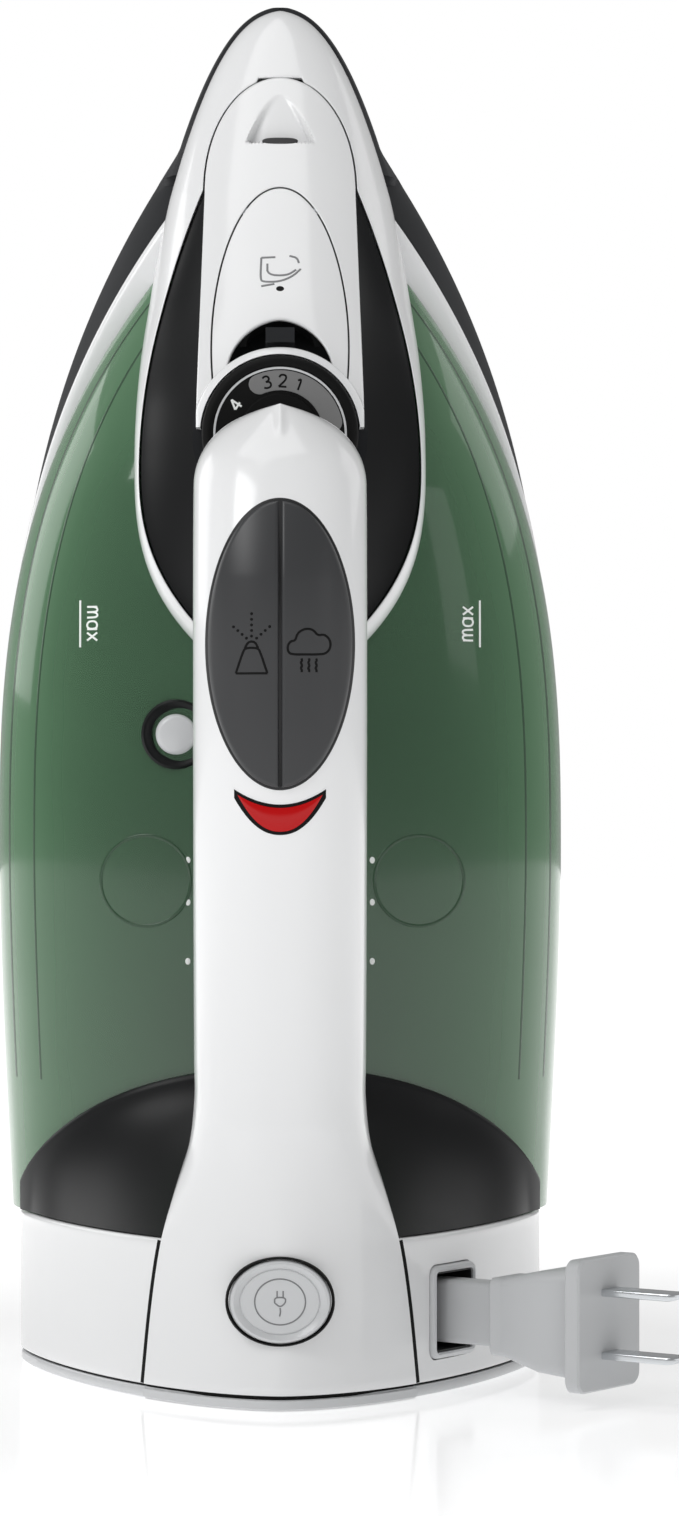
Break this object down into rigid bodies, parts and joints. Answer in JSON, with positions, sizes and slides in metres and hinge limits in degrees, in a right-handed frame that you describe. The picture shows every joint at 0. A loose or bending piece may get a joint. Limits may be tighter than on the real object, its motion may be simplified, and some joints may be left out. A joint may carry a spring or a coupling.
{
  "type": "clothes iron",
  "caption": "Steam iron standing on its heel, with a green water tank, temperature dial, thumb buttons and a cord that winds back into the heel.",
  "frame": {"origin": "centre of the heel rest, on the surface the iron stands on", "axes": "+Z from the heel rest to the sole's tip, +Y out of the sole's face, -Y towards the handle, +X to the right of someone facing the handle"},
  "size_m": [0.1437, 0.1509, 0.3],
  "materials": {
    "white_shell": "smooth gloss moulding",
    "charcoal_trim": "fine satin moulding",
    "black_trim": "satin moulding",
    "clear_green": "transparent tinted moulding",
    "pale_grey": "satin moulding",
    "red_lens": "transparent red lens",
    "steel": "polished steel",
    "cast_aluminium": "as cast",
    "brass": "bare",
    "cord_rubber": "soft moulded PVC",
    "board": "circuit board"
  },
  "bodies": {
    "iron": {"body_shell": "white_shell", "nose_shell": "white_shell", "nose_cover": "white_shell", "dial_bezel": "white_shell", "handle_upper": "white_shell", "heel_housing": "white_shell", "plug_pocket": "white_shell", "skirt": "charcoal_trim", "handle_lower": "charcoal_trim", "front_saddle": "black_trim", "rear_saddle": "black_trim", "fill_funnel": "black_trim", "front_column": "white_shell", "auto_clean_ring": "black_trim", "rewind_ring": "black_trim", "water_tank": "clear_green", "tank_floor": "clear_green", "spray_nozzle": "pale_grey", "spray_tube": "pale_grey", "spray_pump": "pale_grey", "steam_pump": "pale_grey", "heel_plate": "pale_grey", "indicator_lens": "red_lens", "sole_plate": "steel", "heating_element": "steel", "thermal_fuse": "steel", "fill_door_pin": "steel", "spray_spring": "steel", "steam_spring": "steel", "heel_screw_1": "steel", "heel_screw_2": "steel", "rewind_spring": "steel", "brake_pin": "steel", "reel_axle": "steel", "heater_casting": "cast_aluminium", "steam_chamber_cover": "cast_aluminium", "thermostat": "brass", "indicator_board": "board"},
    "dial": {"temperature_dial": "pale_grey", "thermostat_shaft": "steel"},
    "selector": {"steam_selector": "charcoal_trim"},
    "valve_rod": {"steam_valve_rod": "steel"},
    "filling_door": {"fill_door": "white_shell"},
    "spray_control": {"spray_button": "charcoal_trim", "spray_piston": "pale_grey"},
    "steam_control": {"steam_button": "charcoal_trim", "steam_piston": "pale_grey"},
    "self_clean": {"auto_clean_button": "pale_grey"},
    "rewind": {"rewind_button": "pale_grey"},
    "brake": {"brake_lever": "pale_grey"},
    "reel": {"cord_reel": "pale_grey", "cord_winding": "cord_rubber", "reel_spring": "steel"},
    "plug": {"plug_body": "cord_rubber", "plug_blade_1": "steel", "plug_blade_2": "steel", "cord_lead": "cord_rubber"}
  },
  "joints": [
    {"name": "dial_turn", "type": "hinge", "parent": "iron", "child": "dial", "pos_m": [0, -0.025, 0.198], "axis": [0, 1, 0], "range_deg": [-70, 140]},
    {"name": "steam_select", "type": "hinge", "parent": "iron", "child": "selector", "pos_m": [0, -0.0175, 0.198], "axis": [0, 1, 0], "range_deg": [-25, 25]},
    {"name": "valve_lift", "type": "slide", "parent": "iron", "child": "valve_rod", "axis": [0, -1, 0], "range_m": [-0.001, 0.001]},
    {"name": "door_open", "type": "hinge", "parent": "iron", "child": "filling_door", "pos_m": [0, 0.01466, 0.24836], "axis": [-1, 0, 0], "range_deg": [0, 70]},
    {"name": "spray_press", "type": "slide", "parent": "iron", "child": "spray_control", "axis": [0, 1, 0], "range_m": [0, 0.004], "stiffness_N_per_m": 700, "springref_m": -0.003, "deforming": ["spray_spring"]},
    {"name": "steam_press", "type": "slide", "parent": "iron", "child": "steam_control", "axis": [0, 1, 0], "range_m": [0, 0.004], "stiffness_N_per_m": 700, "springref_m": -0.003, "deforming": ["steam_spring"]},
    {"name": "self_clean_press", "type": "slide", "parent": "iron", "child": "self_clean", "axis": [0, 1, 0], "range_m": [0, 0.003], "stiffness_N_per_m": 500, "springref_m": -0.003},
    {"name": "rewind_press", "type": "slide", "parent": "iron", "child": "rewind", "axis": [0, 1, 0], "range_m": [0, 0.003], "stiffness_N_per_m": 500, "springref_m": -0.003, "deforming": ["rewind_spring"]},
    {"name": "brake_release", "type": "hinge", "parent": "iron", "child": "brake", "pos_m": [-0.008, -0.02375, 0.024], "axis": [0, 0, 1], "range_deg": [0, 24]},
    {"name": "reel_spin", "type": "hinge", "parent": "iron", "child": "reel", "pos_m": [0, 0.0225, 0.0176], "axis": [0, 0, 1], "range_deg": [0, 187.1]},
    {"name": "plug_pull", "type": "slide", "parent": "iron", "child": "plug", "axis": [0.809, -0.5878, 0], "range_m": [0, 0.12], "deforming": ["cord_lead"]}
  ],
  "couplings": [
    {"joint": "valve_lift", "follows": "steam_select", "m_per_rad": 0.0022918},
    {"joint": "brake_release", "follows": "rewind_press", "rad_per_m": 139.63},
    {"joint": "plug_pull", "follows": "reel_spin", "m_per_rad": 0.03675}
  ]
}
